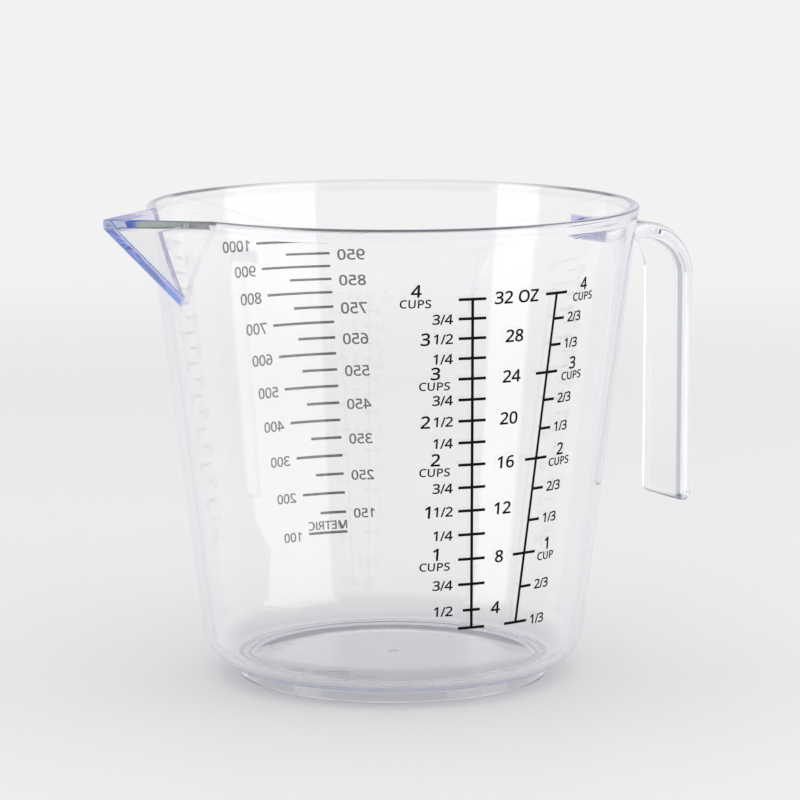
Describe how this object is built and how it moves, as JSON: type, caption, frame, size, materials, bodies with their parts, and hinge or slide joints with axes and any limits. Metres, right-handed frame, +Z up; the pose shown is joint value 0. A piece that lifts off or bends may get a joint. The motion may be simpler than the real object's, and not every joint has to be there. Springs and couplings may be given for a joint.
{
  "type": "measuring cup",
  "caption": "Clear moulded measuring cup with a tapered wall, V-shaped pouring spout, open strip handle and printed cup, ounce and millilitre scales.",
  "frame": {"origin": "on the standing plane, midway between the spout's tip and the outside of the handle and on the plane of symmetry", "axes": "+Z up, +X towards the handle, -X towards the spout, cup scales facing -Y, millilitre scale facing +Y"},
  "size_m": [0.1738, 0.1316, 0.127],
  "materials": {
    "clear_plastic": "clear, faintly blue moulded plastic, polished inside and out",
    "black_ink": "black screen-printed ink"
  },
  "bodies": {
    "root": {"side_wall": "clear_plastic", "heel": "clear_plastic", "floor_disc": "clear_plastic", "foot_ring": "clear_plastic", "rim_lip": "clear_plastic", "pouring_spout": "clear_plastic", "handle": "clear_plastic", "quarter_cup_scale": "black_ink", "third_cup_scale": "black_ink", "ml_mark_100": "black_ink", "ml_mark_150": "black_ink", "ml_mark_200": "black_ink", "ml_mark_250": "black_ink", "ml_mark_300": "black_ink", "ml_mark_350": "black_ink", "ml_mark_400": "black_ink", "ml_mark_450": "black_ink", "ml_mark_500": "black_ink", "ml_mark_550": "black_ink", "ml_mark_600": "black_ink", "ml_mark_650": "black_ink", "ml_mark_700": "black_ink", "ml_mark_750": "black_ink", "ml_mark_800": "black_ink", "ml_mark_850": "black_ink", "ml_mark_900": "black_ink", "ml_mark_950": "black_ink", "ml_mark_1000": "black_ink"}
  },
  "joints": []
}
